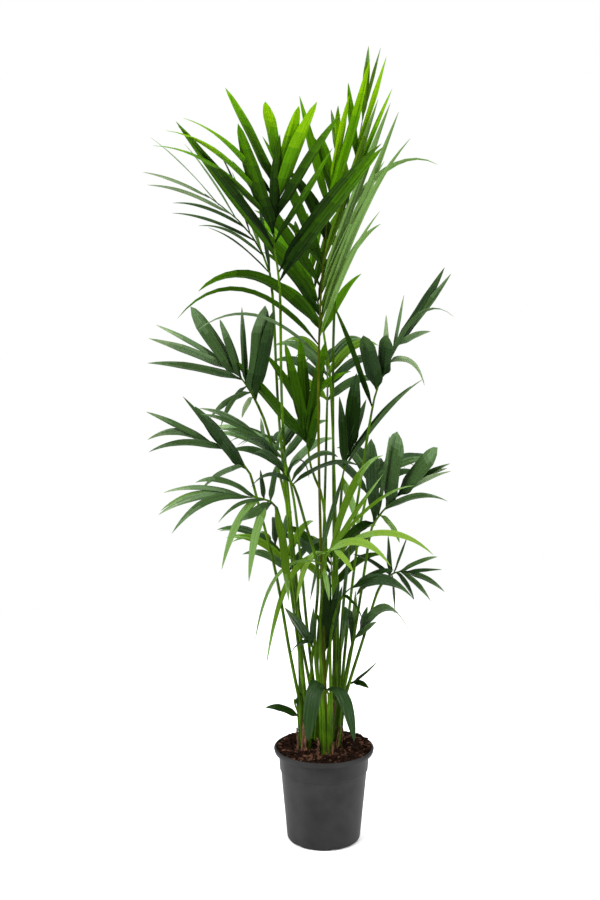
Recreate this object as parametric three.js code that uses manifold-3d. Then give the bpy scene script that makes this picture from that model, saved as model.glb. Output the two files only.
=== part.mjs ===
// Kentia palm (Howea forsteriana) in a round nursery pot. Millimetres, +Z up.
// The origin is the centre of the pot's flat underside. The plant's open side faces -Y.
import * as THREE from "three";
import { mergeVertices } from "three/addons/utils/BufferGeometryUtils.js";
import Module from "manifold-3d";

const wasm = await Module();
wasm.setup();

// ---------------------------------------------------------------- driving dimensions

const GAP = 0.3; // between pieces that stand on each other
const SMALLEST_EDGE = 0.02; // shorter edges, left by joining, are drawn together
const NECK_GAP = 0.5; // between a stalk and its blade, whose end faces are a little askew

const POT = {
  height: 230,
  foot: 88, // radius of the body just above the floor
  footRounding: 5,
  step: 175, // height of the moulded step
  stepRise: 1.5,
  belowStep: 103.5,
  aboveStep: 106,
  neck: 108.5, // radius right under the lip
  lip: 120,
  lipHeight: 12,
  wall: 2.2,
  floor: 3,
  notches: 6, // drain notches in the bottom edge
  notchWidth: 16,
  notchHeight: 4,
  notchDepth: 4,
  firstNotch: 45, // degrees from +X
  sides: 32,
};

const SOIL = { top: 222, flatTo: 78, edge: 221 };

// Stems: foot and crown in plan, height of the crown; the sheathed bases make them stout.
const STEMS = {
  left: { foot: [-44, 0], crown: [-50, -2], top: 338 },
  centre: { foot: [6, -30], crown: [4, -33], top: 334 },
  right: { foot: [23, 7], crown: [36, 9], top: 344 },
  back: { foot: [-16, 38], crown: [-14, 43], top: 336 },
  far: { foot: [28, 52], crown: [30, 55], top: 340 },
};
const STEM = { foot: 18.5, waist: 16, crown: 18, sides: 12, steps: 4 };
const SEATS = { round: 6, circle: 12.6 }; // seat 0 in the middle of a crown, the others round it

const STALK = { foot: 4.6, neck: 3.4, sides: 5, steps: 9 };
const RIB = { neck: 3.6, tip: 1.6, sides: 3, steps: 4 };

const LEAFLET = {
  lift: 0.25, // rise of a leaflet out of the blade, towards its upper face
  rootHalf: 1.8, // half the width at the rib
  fullFrom: 0.22, // share of the length where the full width is reached
  fullTo: 0.6, // and where the taper to the tip begins
  drawnOut: 0.8, // how the taper closes: 1 is straight, less is fuller
  twist: 28, // degrees that a blade is turned on its own length, so that neighbours lie like slats
  thickness: 0.0105, // share of the length
  leastThickness: 2.6, // the midrib stands this much over the edges, which are sharp
  fine: 12, // steps in which the bend is worked out
};

const BENDS = { few: 3, some: 4, many: 6, someOver: 0.8, manyOver: 3, broadOver: 0.7 };

// ---------------------------------------------------------------- the fronds

// Each frond: the stem that carries it and its seat there, the stalk's way up to the neck, the
// rib from the neck to the tip, and where its upper face looks. Its leaflets are listed from the
// neck up, left and right of the rib, as [place on the rib %, angle to the rib in degrees,
// length, width, droop], and where the taper to a broad tip begins, if not at LEAFLET.fullTo.
// A droop of 1 turns a level leaflet down by 45 degrees at its tip.
const FRONDS = {
  high_front: {
    stem: "left", seat: 0,
    stalk: [[-62, -15, 595], [-96, -30, 1000], [-102, -80, 1326]],
    rib: [[-113, -110, 1405], [-114, -150, 1492], [-100, -210, 1598]],
    face: [0, -1, 0.35],
    left: [
      [30, 23, 410, 23, 0.3], [40, 12, 310, 38, 0], [50, 35, 385, 20, 0.6], [60, 34, 365, 20, 0.6],
      [70, 35, 325, 22, 0.5], [78, 25, 295, 32, 0.1], [95, 13, 190, 34, 0.1, 0.75],
    ],
    right: [
      [3, 33, 405, 36, 0.3], [10, 36, 400, 34, 0.3], [34, 27, 290, 18, 0.1], [45, 4, 260, 28, 0],
      [52, 22, 345, 26, 0.2], [64, 13, 320, 32, 0.1], [80, 6, 245, 30, 0.1],
    ],
  },
  tall_centre: {
    stem: "centre", seat: 0,
    stalk: [[-8, -20, 715], [-14, -5, 975], [-14, 5, 1155]],
    rib: [[-9, 12, 1314], [2, 10, 1457], [13, 5, 1546], [43, -20, 1727]],
    face: [0, -1, 0.3],
    left: [
      [1, 48, 320, 9, 1.2], [5, 40, 400, 14, 1.5], [12, 41, 340, 30, 1.3], [19, 37, 540, 30, 0.15],
      [28, 35, 360, 28, 0.2], [37, 27, 330, 28, 0.2], [47, 24, 220, 23, 0.8],
      [59, 20, 270, 21, 0.1], [70, 20, 120, 23, 0.1],
    ],
    right: [
      [8, 18, 330, 14, 0.5], [13, 18, 480, 18, 0.5], [20, 18, 480, 20, 0.1], [26, 16, 265, 12, 0.6],
      [28, 16, 450, 20, 0.1], [37, 13, 400, 19, 0.1], [43, 22, 378, 16, 1.1], [58, 8, 360, 24, 0.1],
      [68, 2, 220, 18, 0.1], [84, -9, 100, 16, 0],
    ],
  },
  tall_back: {
    stem: "far", seat: 0,
    stalk: [[24, 40, 679], [20, 48, 1109], [24, 55, 1295]],
    rib: [[37, 60, 1421], [58, 60, 1547], [88, 40, 1725]],
    face: [0.3, -1, 0.2],
    left: [
      [8, 43, 210, 23, 0.4], [22, 37, 230, 23, 0.3], [38, 32, 230, 23, 0.2], [55, 26, 210, 21, 0.1],
      [75, 20, 180, 18, 0.1], [95, 10, 170, 16, 0.05],
    ],
    right: [
      [8, 20, 170, 18, 0.6], [22, 10, 240, 21, 0.4], [38, 6, 240, 21, 0.2], [55, 7, 260, 18, 0.15],
      [75, 2, 240, 18, 0.1], [97, 0, 160, 12, 0.05],
    ],
  },
  high_left: {
    stem: "left", seat: 1,
    stalk: [[-67, 40, 581], [-107, 85, 1009], [-123, 100, 1315]],
    rib: [[-149, 100, 1408], [-204, 95, 1480], [-278, 85, 1538]],
    face: [-0.5, -0.35, 0.8],
    left: [
      [10, 33, 190, 10, 0.5], [25, 18, 180, 9, 0.7], [40, 26, 215, 9, 0.5], [55, 22, 200, 8, 0.6],
      [72, 32, 250, 9, 0.3], [95, 30, 200, 8, 0.3],
    ],
    right: [
      [12, 20, 200, 10, 0.4], [30, 14, 210, 9, 0.3], [48, 18, 215, 8, 0.5], [66, 10, 210, 8, 0.4],
      [85, 4, 220, 8, 0.3],
    ],
  },
  right_high: {
    stem: "right", seat: 0,
    stalk: [[40, 2, 493], [53, 2, 656], [81, 4, 853], [104, 2, 1009]],
    rib: [[120, 0, 1091], [152, -6, 1166], [185, -14, 1231]],
    face: [-0.1, -1, 0.1],
    left: [
      [13, 29, 270, 16, 0], [31, 28, 140, 44, 0.1, 0.78], [46, 16, 105, 40, 0.1, 0.78],
      [52, 22, 140, 16, 0], [71, 15, 150, 9, 0.1],
    ],
    right: [
      [50, -2, 280, 12, 1.2], [62, 35, 120, 21, 3], [78, 3, 230, 25, 0], [82, 28, 90, 18, 0.4],
      [89, 10, 200, 18, -0.1],
    ],
  },
  right_mid: {
    stem: "right", seat: 5, twist: 24,
    stalk: [[55, -12, 417], [76, -30, 551], [96, -50, 700], [107, -58, 773]],
    rib: [[126, -66, 810], [159, -86, 854], [200, -105, 906]],
    face: [-0.1, -1, 0.25],
    left: [
      [6, 132, 110, 26, 1.8], [4, 24, 220, 34, 0.1, 0.78], [15, 26, 230, 12, 0.5],
      [35, 26, 215, 48, 0.05, 0.8], [60, 2, 180, 40, 0.1, 0.8], [85, -15, 130, 12, 0.2],
    ],
    right: [
      [20, 80, 80, 18, 1.6], [30, 16, 200, 18, 0.7], [65, 17, 160, 14, 0.2], [95, 24, 100, 12, 0.1],
    ],
  },
  young_front: {
    stem: "centre", seat: 4, twist: -8,
    stalk: [[-11, -52, 509], [-7, -70, 634], [-7, -76, 671]],
    rib: [[0, -90, 724], [24, -112, 748], [55, -135, 765]],
    face: [-0.2, -0.75, 0.6],
    left: [
      [15, 81, 290, 8, 6], [38, 127, 168, 16, 7], [42, 149, 373, 18, 5.8], [52, 39, 278, 23, 0.9],
      [62, 19, 304, 9, 0.7], [88, -3, 300, 14, 0.9],
    ],
    right: [
      [10, 150, 80, 12, 1.6], [24, 26, 337, 10, -0.1], [42, 20, 326, 18, 0.9],
      [58, 37, 136, 14, 0.5],
    ],
  },
  left_low: {
    stem: "left", seat: 5, twist: 4,
    stalk: [[-69, -50, 557], [-92, -90, 733], [-109, -112, 834]],
    rib: [[-134, -130, 858], [-165, -155, 870], [-199, -180, 875]],
    face: [0, -0.75, 0.66],
    left: [
      [2, 152, 225, 26, 5], [20, 53, 240, 21, 1.5], [40, 32, 270, 18, 1.4], [60, 10, 300, 17, 0.9],
      [80, 0, 260, 17, 0.7], [98, -6, 220, 12, 0.9],
    ],
    right: [
      [10, -42, 160, 21, 0.2], [15, 92, 110, 18, 0.6], [30, -25, 220, 9, 0.6],
      [30, 72, 70, 18, 0.5], [50, 18, 180, 21, 0.8], [75, 10, 230, 14, 0.6],
    ],
  },
  inner_right: {
    stem: "back", seat: 6,
    stalk: [[24, 30, 583], [41, 20, 859]],
    rib: [[43, 20, 885], [50, 22, 918], [64, 24, 958]],
    face: [0.2, -1, 0.1],
    left: [[20, 19, 140, 21, 0.1], [45, 20, 180, 21, 0.1], [80, 18, 200, 37, 0]],
    right: [
      [20, 17, 310, 12, 0.3], [40, 18, 290, 14, 0.5], [60, 14, 240, 12, 0.4],
      [90, -7, 130, 23, 0.1],
    ],
  },
  left_mid: {
    stem: "left", seat: 2,
    stalk: [[-60, 12, 490], [-79, 26, 762], [-129, 40, 975], [-156, 40, 1051]],
    rib: [[-183, 34, 1099], [-206, 28, 1130], [-229, 20, 1154]],
    face: [0.2, -1, 0.4],
    left: [
      [10, 97, 60, 18, 1.6], [20, 66, 130, 18, 0.9], [35, 89, 120, 18, 1.4], [50, 36, 260, 21, 0.3],
      [75, 26, 250, 21, 0.1],
    ],
    right: [
      [0, 34, 220, 38, 0.05, 0.72], [4, 30, 225, 60, 0.05, 0.72], [35, 26, 190, 21, 0],
      [50, 12, 160, 30, 0.1, 0.72], [60, 2, 215, 46, 0.15, 0.8], [95, -16, 220, 18, 0.1],
    ],
  },
  inner_back: {
    stem: "back", seat: 0,
    stalk: [[-14, 44, 480], [5, 60, 674], [-3, 72, 818], [-29, 80, 889]],
    rib: [[-41, 84, 961], [-48, 86, 1032], [-50, 84, 1104]],
    face: [0, -1, 0.1],
    left: [[26, 32, 280, 32, 0.05], [30, 5, 250, 32, 0], [60, 24, 190, 21, 0.3]],
    right: [
      [15, 19, 140, 23, 0], [26, 17, 260, 30, 0], [27, 3, 260, 32, 0], [70, 44, 150, 21, 0.5],
    ],
  },
  left_wide: {
    stem: "left", seat: 4,
    stalk: [[-82, -12, 471], [-114, -10, 659], [-153, 4, 815], [-173, 10, 890]],
    rib: [[-186, 8, 911], [-220, -6, 947], [-270, -24, 976]],
    face: [0.1, -1, 0.5],
    left: [[12, 49, 140, 18, 0.9], [60, 14, 220, 18, 0.7], [95, 6, 175, 17, 0.8]],
    right: [[2, -13, 210, 39, 0], [45, 6, 205, 20, 0.1], [85, 2, 200, 19, 0.25]],
  },
  front_centre: {
    stem: "centre", seat: 3,
    stalk: [[-23, -34, 501], [-16, -64, 673], [-46, -120, 805], [-69, -142, 888]],
    rib: [[-89, -158, 918], [-119, -186, 981], [-162, -200, 1028]],
    face: [0.25, -0.9, 0.5],
    left: [
      [5, 16, 160, 12, 1], [20, 7, 170, 14, 0.9], [40, 14, 200, 18, 0.9], [60, 21, 190, 16, 0.5],
      [80, 16, 180, 12, 0.4], [97, 19, 160, 12, 0.3],
    ],
    right: [
      [0, 90, 170, 21, 0.9], [4, 81, 140, 23, 1.2], [12, 58, 100, 21, 2.6], [30, 36, 70, 21, 0.1],
      [50, 32, 70, 23, 0.1], [75, 30, 60, 16, 0.2],
    ],
  },
  right_low: {
    stem: "right", seat: 6,
    stalk: [[68, 10, 411], [92, 8, 491], [124, 0, 607], [145, -8, 644]],
    rib: [[158, -16, 658], [172, -26, 666], [188, -38, 670]],
    face: [-0.1, -0.9, 0.5],
    left: [
      [0, 40, 105, 26, 0.05], [2, 150, 100, 16, 1.4], [10, 113, 105, 16, 0.4],
      [30, 34, 110, 11, 0.1], [55, 8, 140, 15, 0.3], [90, 2, 125, 13, 0.2],
    ],
    right: [
      [20, 96, 95, 15, 1.2], [45, 44, 100, 17, 0.7], [70, 28, 140, 16, 0.5], [97, 16, 150, 15, 0.4],
    ],
  },
  arching_right: {
    stem: "centre", seat: 6,
    stalk: [[14, -40, 503], [29, -55, 587]],
    rib: [[38, -64, 611], [51, -76, 633], [65, -88, 646]],
    face: [-0.2, -0.8, 0.6],
    left: [[30, 12, 140, 18, 0.1], [90, 0, 180, 21, 0.5]],
    right: [[40, 56, 100, 18, 1.2], [95, 10, 260, 28, 0.9]],
  },
  small_right: {
    stem: "right", seat: 1, whole: true, twist: 10,
    stalk: [[62, 26, 456]],
    rib: [[69, 20, 480], [78, 12, 502], [87, 2, 520]],
    face: [-0.2, -0.8, 0.6],
    left: [[5, 5, 160, 18, 0.05], [10, 14, 260, 18, 2.2], [80, 4, 100, 21, 0.1]],
    right: [[50, 18, 110, 14, 0.3], [95, 8, 300, 21, 1.2]],
  },
  small_left: {
    stem: "left", seat: 6, whole: true,
    stalk: [[-28, -30, 471]],
    rib: [[-31, -40, 492], [-42, -52, 511], [-55, -62, 526]],
    face: [0.1, -0.8, 0.6],
    left: [[12, 20, 215, 26, 0], [40, 31, 100, 18, 0.8]],
    right: [[10, 0, 150, 18, 0], [70, 23, 100, 14, 0]],
  },
  small_centre: {
    stem: "centre", seat: 2, whole: true,
    stalk: [[-2, -16, 451]],
    rib: [[1, -14, 471], [4, -14, 491], [6, -14, 506]],
    face: [0, -1, 0.3],
    left: [[20, 8, 170, 23, 0], [80, 25, 80, 18, 0.2]],
    right: [[50, -5, 210, 23, 0], [80, 4, 160, 21, 0]],
  },
  foot_front: {
    stem: "centre", seat: 5, whole: true, twist: -35,
    stalk: [[10, -52, 372]],
    rib: [[6, -62, 388], [3, -72, 396], [0, -82, 402]],
    face: [0, -0.3, 1],
    left: [[60, 38, 190, 34, 4.2, 0.5]],
    right: [[70, 6, 198, 38, 5, 0.62]],
  },
  foot_left: {
    stem: "left", seat: 3, whole: true,
    stalk: [[-70, -12, 349]],
    rib: [[-69, -24, 341], [-64, -34, 329], [-59, -41, 316]],
    face: [0, -0.9, 0.4],
    left: [[9, 150, 62, 8, 2]],
    right: [[88, 139, 84, 19, 0.8]],
  },
  foot_right: {
    stem: "far", seat: 5, whole: true,
    stalk: [[54, 42, 362]],
    rib: [[59, 39, 370], [66, 37, 376], [75, 35, 381]],
    face: [-0.2, -0.7, 0.7],
    left: [[20, -12, 110, 13, -0.2]],
    right: [[60, 26, 55, 14, 0.9]],
  },
  back_high: {
    stem: "far", seat: 1,
    stalk: [[30, 88, 700], [18, 140, 1060], [4, 172, 1180]],
    rib: [[-14, 215, 1280], [-36, 275, 1355], [-60, 335, 1395]],
    face: [0, -0.2, 1],
    even: { pairs: 7, longest: 250, width: 22, droop: 0.6, splay: [32, 12] },
  },
  back_mid: {
    stem: "back", seat: 1,
    stalk: [[-4, 80, 560], [4, 120, 860], [8, 150, 1020]],
    rib: [[10, 190, 1085], [8, 250, 1130], [4, 320, 1135]],
    face: [0, -0.2, 1],
    even: { pairs: 6, longest: 200, width: 22, droop: 1.1, splay: [46, 16] },
  },
  back_left: {
    stem: "back", seat: 2,
    stalk: [[-40, 84, 500], [-66, 130, 760], [-82, 165, 850]],
    rib: [[-98, 205, 900], [-118, 265, 925], [-134, 330, 920]],
    face: [0, -0.2, 1],
    even: { pairs: 6, longest: 220, width: 20, droop: 0.8, splay: [52, 16] },
  },
  back_right: {
    stem: "far", seat: 6,
    stalk: [[58, 92, 500], [85, 140, 710], [102, 172, 790]],
    rib: [[118, 210, 836], [138, 270, 858], [152, 335, 856]],
    face: [0, -0.2, 1],
    even: { pairs: 6, longest: 205, width: 20, droop: 0.9, splay: [44, 16] },
  },
  back_low: {
    stem: "far", seat: 2,
    stalk: [[26, 92, 440], [24, 132, 560]],
    rib: [[22, 165, 610], [20, 215, 640], [18, 270, 640]],
    face: [0, -0.2, 1],
    even: { pairs: 5, longest: 220, width: 20, droop: 0.9, splay: [44, 16] },
  },
  back_low_left: {
    stem: "back", seat: 3,
    stalk: [[-52, 78, 460], [-78, 110, 610]],
    rib: [[-95, 140, 660], [-118, 175, 685], [-138, 210, 688]],
    face: [0, -0.2, 1],
    even: { pairs: 5, longest: 180, width: 19, droop: 0.9, splay: [46, 18] },
  },
};

// ---------------------------------------------------------------- solids

// Whether d lies outside the face that a, b and c make.
function standsOut(a, b, c, d) {
  const outwards = new THREE.Vector3().crossVectors(b.clone().sub(a), c.clone().sub(a));
  return outwards.dot(d.clone().sub(a)) > 0;
}

// Closed surface through rings of equal counts; each end is closed by a fan from its first point,
// or drawn together in the given tip. Every twisted quad is split so that it bulges outwards, which
// keeps the two sides of a thin blade apart.
function loft(rings, tip) {
  const count = rings[0].length;
  const points = rings.flat();
  const faces = [];
  for (let r = 0; r + 1 < rings.length; r++) {
    for (let k = 0; k < count; k++) {
      const a = r * count + k;
      const b = r * count + ((k + 1) % count);
      const [c, d] = [b + count, a + count];
      const bulging = standsOut(...[a, b, c, d].map((corner) => points[corner]));
      faces.push(...(bulging ? [a, b, d, b, c, d] : [a, b, c, a, c, d]));
    }
  }
  for (let k = 1; k + 1 < count; k++) faces.push(0, k + 1, k);
  const last = (rings.length - 1) * count;
  if (tip) {
    points.push(tip);
    for (let k = 0; k < count; k++) faces.push(last + k, last + ((k + 1) % count), points.length - 1);
  } else {
    for (let k = 1; k + 1 < count; k++) faces.push(last, last + k, last + k + 1);
  }
  const geometry = new THREE.BufferGeometry().setFromPoints(points);
  geometry.setIndex(faces);
  return geometry;
}

function solidOf(geometry) {
  const bare = geometry.clone();
  bare.deleteAttribute("normal");
  bare.deleteAttribute("uv");
  const merged = mergeVertices(bare, 1e-4);
  return new wasm.Manifold(
    new wasm.Mesh({
      numProp: 3,
      vertProperties: new Float32Array(merged.attributes.position.array),
      triVerts: new Uint32Array(merged.index.array),
    }),
  );
}

// The largest body alone: a hollow that joining has sealed is filled, and a loose scrap is dropped.
function wholeOf(solid) {
  const bodies = solid.asOriginal().simplify(SMALLEST_EDGE).decompose();
  return bodies.sort((a, b) => b.volume() - a.volume())[0];
}

function geometryOf(solid) {
  const mesh = solid.getMesh();
  const geometry = new THREE.BufferGeometry();
  geometry.setAttribute("position", new THREE.BufferAttribute(mesh.vertProperties, 3));
  geometry.setIndex(new THREE.BufferAttribute(mesh.triVerts, 1));
  geometry.computeVertexNormals();
  return geometry;
}

const vector = (xyz) => new THREE.Vector3(...xyz);
const mix = (a, b, t) => a + (b - a) * t;
const UP = new THREE.Vector3(0, 0, 1);

// The part of v that is square to the unit vector axis, made a unit vector.
const squared = (v, axis) => v.clone().addScaledVector(axis, -v.dot(axis)).normalize();

// Tapered tube along a curve between two of its places (0 to 1 by length).
// A standing tube's first ring is level, so that it meets a level seat face to face.
function taperedTube(curve, from, to, radiusAt, sides, steps, standing = false) {
  const rings = [];
  let across = new THREE.Vector3(1, 0, 0);
  for (let i = 0; i <= steps; i++) {
    const t = i / steps;
    const place = mix(from, to, t);
    const centre = curve.getPointAt(place);
    const axis = standing && i === 0 ? UP : curve.getTangentAt(place);
    across = squared(across, axis);
    const other = new THREE.Vector3().crossVectors(axis, across);
    const ring = [];
    for (let k = 0; k < sides; k++) {
      const turn = (2 * Math.PI * k) / sides;
      ring.push(
        centre
          .clone()
          .addScaledVector(across, radiusAt(t) * Math.cos(turn))
          .addScaledVector(other, radiusAt(t) * Math.sin(turn)),
      );
    }
    rings.push(ring);
  }
  return solidOf(loft(rings));
}

// ---------------------------------------------------------------- pot, soil, stems

function potSolid() {
  const { height, foot, footRounding, step, stepRise, belowStep, aboveStep } = POT;
  const { neck, lip, lipHeight, wall } = POT;
  const lipFoot = height - lipHeight;
  const outline = [
    [0, 0],
    [foot - footRounding, 0],
    [foot - footRounding * (1 - Math.SQRT1_2), footRounding * (1 - Math.SQRT1_2)],
    [foot, footRounding],
    [belowStep, step],
    [aboveStep, step + stepRise],
    [neck, lipFoot],
    [lip - 2, lipFoot],
    [lip, height - 1],
    [lip - 1, height],
    [lip - wall - 1.2, height],
    [lip - wall - 2, lipFoot + wall],
    [neck - wall, lipFoot - 1],
    [aboveStep - wall, step + stepRise],
    [belowStep - wall, step - wall],
    [foot - wall, POT.floor],
    [0, POT.floor],
  ].map(([r, z]) => new THREE.Vector2(r, z));
  const body = new THREE.LatheGeometry(outline, POT.sides).rotateX(Math.PI / 2);
  let solid = solidOf(body);
  const toolLength = 20;
  for (let k = 0; k < POT.notches; k++) {
    const turn = THREE.MathUtils.degToRad(POT.firstNotch + (360 * k) / POT.notches);
    const tool = new THREE.BoxGeometry(toolLength, POT.notchWidth, POT.notchHeight * 2)
      .translate(foot - POT.notchDepth + toolLength / 2, 0, 0)
      .rotateZ(turn);
    solid = solid.subtract(solidOf(tool));
  }
  return solid;
}

function soilSolid() {
  const lipFoot = POT.height - POT.lipHeight;
  const { step, stepRise, wall } = POT;
  const outline = [
    [0, POT.floor + GAP],
    [POT.foot - wall - GAP, POT.floor + GAP],
    [POT.belowStep - wall - GAP, step - wall + GAP],
    [POT.aboveStep - wall - GAP, step + stepRise + GAP],
    [POT.neck - wall - GAP, lipFoot - 1 + GAP],
    [POT.neck - wall + 1, SOIL.edge - 0.2],
    [SOIL.flatTo, SOIL.top],
    [0, SOIL.top],
  ].map(([r, z]) => new THREE.Vector2(r, z));
  return solidOf(new THREE.LatheGeometry(outline, POT.sides / 2).rotateX(Math.PI / 2));
}

function stemSolid(stem) {
  const [footX, footY] = stem.foot;
  const [crownX, crownY] = stem.crown;
  const rings = [];
  for (let i = 0; i <= STEM.steps; i++) {
    const t = i / STEM.steps;
    const waisted = mix(STEM.foot, STEM.waist, Math.min(1, t * 2));
    const radius = t < 0.5 ? waisted : mix(STEM.waist, STEM.crown, t * 2 - 1);
    const z = mix(SOIL.top + GAP, stem.top, t);
    const ring = [];
    for (let k = 0; k < STEM.sides; k++) {
      const turn = (2 * Math.PI * k) / STEM.sides;
      const x = mix(footX, crownX, t) + radius * Math.cos(turn);
      const y = mix(footY, crownY, t) + radius * Math.sin(turn);
      ring.push(new THREE.Vector3(x, y, z));
    }
    rings.push(ring);
  }
  return solidOf(loft(rings));
}

// ---------------------------------------------------------------- fronds

function seatOf(stem, seat) {
  const [x, y] = stem.crown;
  const turn = (2 * Math.PI * seat) / SEATS.round;
  const out = seat === 0 ? 0 : SEATS.circle;
  return new THREE.Vector3(x + out * Math.cos(turn), y + out * Math.sin(turn), stem.top + GAP);
}

// Pairs of leaflets at even distances, longest at the middle of the rib.
function evenLeaflets({ pairs, longest, width, droop, splay }) {
  const rows = [];
  for (let k = 0; k < pairs; k++) {
    const u = (k + 0.5) / pairs;
    const length = longest * (0.62 + 0.38 * Math.sin(Math.PI * u));
    rows.push([100 * u, mix(splay[0], splay[1], u), length, width, droop]);
  }
  return rows;
}

// A frond's line from its seat to the tip of its rib, and the place of the neck on it.
function layOut(row) {
  const seat = seatOf(STEMS[row.stem], row.seat);
  const stalk = [seat, ...row.stalk.map(vector)];
  const line = new THREE.CatmullRomCurve3([...stalk, ...row.rib.map(vector)], false, "catmullrom", 0.5);
  line.arcLengthDivisions = 400;
  const neckAt = (stalk.length - 1) / (line.points.length - 1);
  const lengths = line.getLengths();
  const neck = lengths[Math.round(neckAt * 400)] / lengths[400];
  return { line, neck, length: lengths[400] };
}

const stalkRadius = (t) => mix(STALK.foot, STALK.neck, Math.min(1, t * 1.5));
const ribRadius = (t) => mix(RIB.neck, RIB.tip, t);

// How many rings a blade gets: more where it bends far or stays broad to its tip.
function bendsOf(droop, fullTo) {
  if (droop > BENDS.manyOver) return BENDS.many;
  return droop > BENDS.someOver || fullTo > BENDS.broadOver ? BENDS.some : BENDS.few;
}

function leafletHalfWidth(u, width, fullTo) {
  const closing = Math.min(1, (1 - u) / (1 - fullTo)) ** LEAFLET.drawnOut;
  return mix(LEAFLET.rootHalf, (width / 2) * closing, Math.min(1, u / LEAFLET.fullFrom));
}

// A leaflet: a blade with a raised midrib that leaves the rib sideways and bends down.
// grown widens and thickens it, to try the room that it needs.
function leafletSolid({ root, along, face, side, turned, lift }, leaflet, grown = 0) {
  const [, angle, length, width, droop, fullTo = LEAFLET.fullTo] = leaflet;
  const upper = squared(face, along);
  const sideways = new THREE.Vector3().crossVectors(along, upper).multiplyScalar(side);
  const turn = THREE.MathUtils.degToRad(angle);
  const start = along.clone().multiplyScalar(Math.cos(turn)).addScaledVector(sideways, Math.sin(turn));
  start.addScaledVector(upper, lift).normalize();
  const twist = THREE.MathUtils.degToRad(turned) * side;
  let across = new THREE.Vector3().crossVectors(upper, start).applyAxisAngle(start, twist);
  const rings = [];
  const centre = root.clone();
  const bends = bendsOf(droop, fullTo);
  const thick = Math.max(LEAFLET.leastThickness, length * LEAFLET.thickness) + grown;
  for (let k = 0; k < LEAFLET.fine; k++) {
    const u = k / LEAFLET.fine;
    const middle = (k + 0.5) / LEAFLET.fine;
    const heading = start.clone().addScaledVector(UP, -droop * middle ** 1.5).normalize();
    across = squared(across, heading); // carried along, so that a bend doesn't wring the blade
    if (k % (LEAFLET.fine / bends) === 0) {
      const blade = new THREE.Vector3().crossVectors(heading, across);
      const half = leafletHalfWidth(u, width, fullTo) + grown;
      const at = (x, h) => centre.clone().addScaledVector(across, x).addScaledVector(blade, h);
      rings.push([at(half, -thick / 3 - grown), at(0, (thick * 2) / 3), at(-half, -thick / 3 - grown)]);
    }
    centre.addScaledVector(heading, length / LEAFLET.fine);
  }
  return solidOf(loft(rings, centre));
}

// ---------------------------------------------------------------- growing clear of each other

const CLEAR = 0.35; // a leaflet is tried this much thicker and wider on every side
const FIRST_LEAFLET = 9; // the lowest leaflet's distance from the neck
const SHARED = 25; // mm3 that two leaflets of one frond may share at their roots

// Turns in degrees and rises that a leaflet tries, in order, when its own place is taken.
const OTHER_WAYS = [
  [0, 0], [-5, 0], [5, 0], [0, 0.3], [0, -0.3], [-10, 0], [10, 0], [-6, 0.35], [6, -0.35], [0, 0.6],
  [-15, 0.2], [15, 0.2], [12, -0.4], [-12, 0.6], [0, 1], [-22, 0.3], [22, 0.3], [-30, 0.6],
];

const boxOf = (solid) => {
  const { min, max } = solid.boundingBox();
  return new THREE.Box3(vector(min), vector(max));
};

const touches = (solid, box, others, allowed = 0) =>
  others.some(
    (other) => other.box.intersectsBox(box) && solid.intersect(other.solid).volume() > allowed,
  );

// Every leaflet of a frond's row that finds room among the others is joined to the rib.
function growLeaflets(row, rib, { line, neck, length }, others) {
  const sides = row.even
    ? [evenLeaflets(row.even), evenLeaflets(row.even)]
    : [row.left, row.right];
  const first = FIRST_LEAFLET / length;
  const face = vector(row.face);
  const turned = row.twist ?? LEAFLET.twist;
  let frond = rib;
  const own = [];
  sides.forEach((leaflets, k) => {
    const side = k === 0 ? -1 : 1;
    for (const leaflet of leaflets) {
      const [share, angle, ...sizes] = leaflet;
      const place = neck + first + (1 - neck - first) * Math.min(0.985, share / 100);
      const seat = { root: line.getPointAt(place), along: line.getTangentAt(place), face, side, turned };
      const grow = ([turn, rise], grown) =>
        leafletSolid({ ...seat, lift: LEAFLET.lift + rise }, [share, angle + turn, ...sizes], grown);
      const way = OTHER_WAYS.find((tried) => {
        const room = grow(tried, CLEAR);
        const box = boxOf(room);
        return !touches(room, box, others) && !touches(room, box, own, SHARED);
      });
      if (!way) continue;
      const blade = grow(way, 0);
      own.push({ solid: blade, box: boxOf(blade) });
      frond = frond.add(blade);
    }
  });
  return frond;
}

// ---------------------------------------------------------------- the palm

const group = new THREE.Group();
group.name = "kentia_palm";

const COLOURS = {
  pot: 0x3d3f40,
  soil: 0x3a241a,
  stem: 0x7c6250,
  stalk: 0x5d8c22,
  bright: 0x5f9a1c,
  young: 0x8cc63f,
  dark: 0x3d5a44,
};
const BRIGHT = new Set(["high_front", "tall_centre", "inner_back"]);

function addNode(name, solid, colour, roughness) {
  const material = new THREE.MeshStandardMaterial({ color: colour, roughness, metalness: 0 });
  material.name = name;
  const mesh = new THREE.Mesh(geometryOf(solid), material);
  mesh.name = name;
  group.add(mesh);
}

function bladeColour(name) {
  if (name === "young_front") return COLOURS.young;
  return BRIGHT.has(name) ? COLOURS.bright : COLOURS.dark;
}

addNode("pot", potSolid(), COLOURS.pot, 0.55);
addNode("soil", soilSolid(), COLOURS.soil, 0.95);

const limbs = [];
const keep = (solid) => {
  const kept = { solid, box: boxOf(solid) };
  limbs.push(kept);
  return kept;
};

for (const [name, stem] of Object.entries(STEMS)) {
  const solid = stemSolid(stem);
  keep(solid);
  addNode(`stem_${name}`, solid, COLOURS.stem, 0.85);
}

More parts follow.
